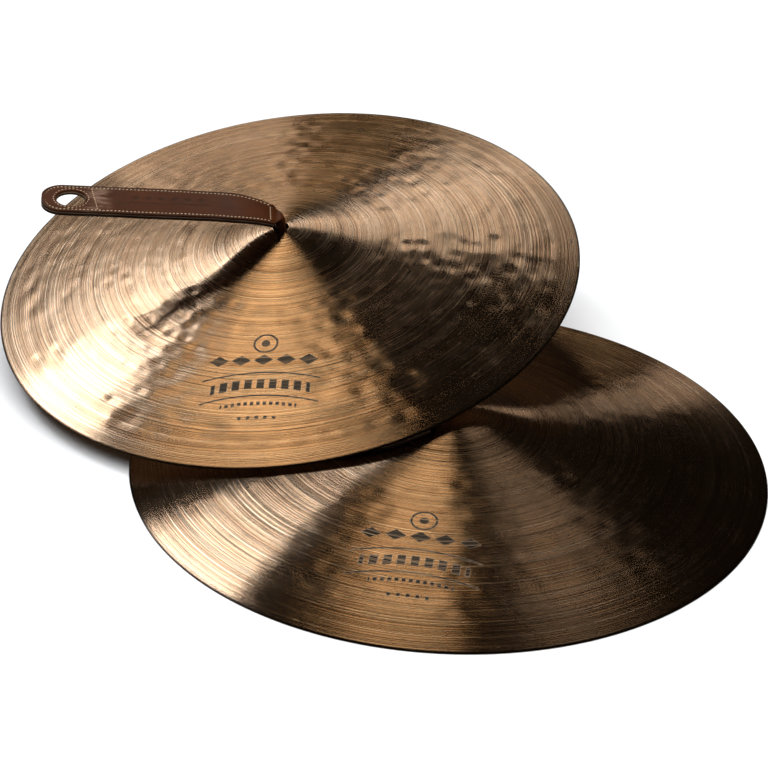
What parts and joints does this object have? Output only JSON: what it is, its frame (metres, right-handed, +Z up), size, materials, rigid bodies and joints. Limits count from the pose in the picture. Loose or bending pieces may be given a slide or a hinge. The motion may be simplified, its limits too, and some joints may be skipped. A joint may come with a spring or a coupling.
{
  "type": "hand cymbals",
  "caption": "Pair of domed bronze hand cymbals with stitched leather straps knotted inside their bells, one lying flat and one leaning over it.",
  "frame": {"origin": "middle of the pair's footprint, on the surface that the lower cymbal lies on", "axes": "+Z up, the lower cymbal's axis; the upper cymbal leans over the lower one from the -X +Y side, its strap points to -X; seen from -Y as in use"},
  "size_m": [0.5803, 0.6194, 0.1404],
  "materials": {
    "bronze": "lathed and hammered bronze, glossy",
    "leather": "brown waxed strap leather, smooth grain",
    "dark_leather": "dark leather underlayer with cut edges",
    "felt": "thin pale stiffening layer seen only at the strap's edge",
    "thread": "waxed tan thread"
  },
  "bodies": {
    "lower_cymbal": {"lower_cymbal": "bronze"},
    "lower_strap": {"lower_edge_thread": "thread", "lower_eye_cross_thread": "thread", "lower_eye_thread": "thread", "lower_knot": "leather", "lower_knot_washer": "dark_leather", "lower_neck_cross_thread": "thread", "lower_strap_back": "dark_leather", "lower_strap_face": "leather", "lower_strap_neck": "leather", "lower_strap_pad": "felt", "lower_thong": "leather"},
    "upper_cymbal": {"upper_cymbal": "bronze"},
    "upper_thong": {"upper_thong": "leather", "upper_knot_washer": "dark_leather", "upper_knot": "leather"},
    "upper_strap": {"upper_edge_thread": "thread", "upper_eye_cross_thread": "thread", "upper_eye_thread": "thread", "upper_neck_cross_thread": "thread", "upper_strap_back": "dark_leather", "upper_strap_face": "leather", "upper_strap_neck": "leather", "upper_strap_pad": "felt"}
  },
  "joints": [
    {"name": "lower_strap_swivel", "type": "hinge", "parent": "lower_cymbal", "child": "lower_strap", "pos_m": [0.06146, -0.08113, 0.038], "axis": [0, 0, 1], "range_deg": [-25, 0]},
    {"name": "upper_cymbal_lift", "type": "slide", "parent": "lower_cymbal", "child": "upper_cymbal", "axis": [0, 0, 1], "range_m": [0, 0.3]},
    {"name": "upper_strap_swivel", "type": "hinge", "parent": "upper_cymbal", "child": "upper_thong", "pos_m": [-0.06824, 0.07768, 0.10457], "axis": [-0.1248, -0.1873, 0.9743], "continuous": true},
    {"name": "upper_strap_lift", "type": "hinge", "parent": "upper_thong", "child": "upper_strap", "pos_m": [-0.06886, 0.07674, 0.10945], "axis": [-0.1392, 0.9903, 0], "range_deg": [-23, 75]}
  ]
}
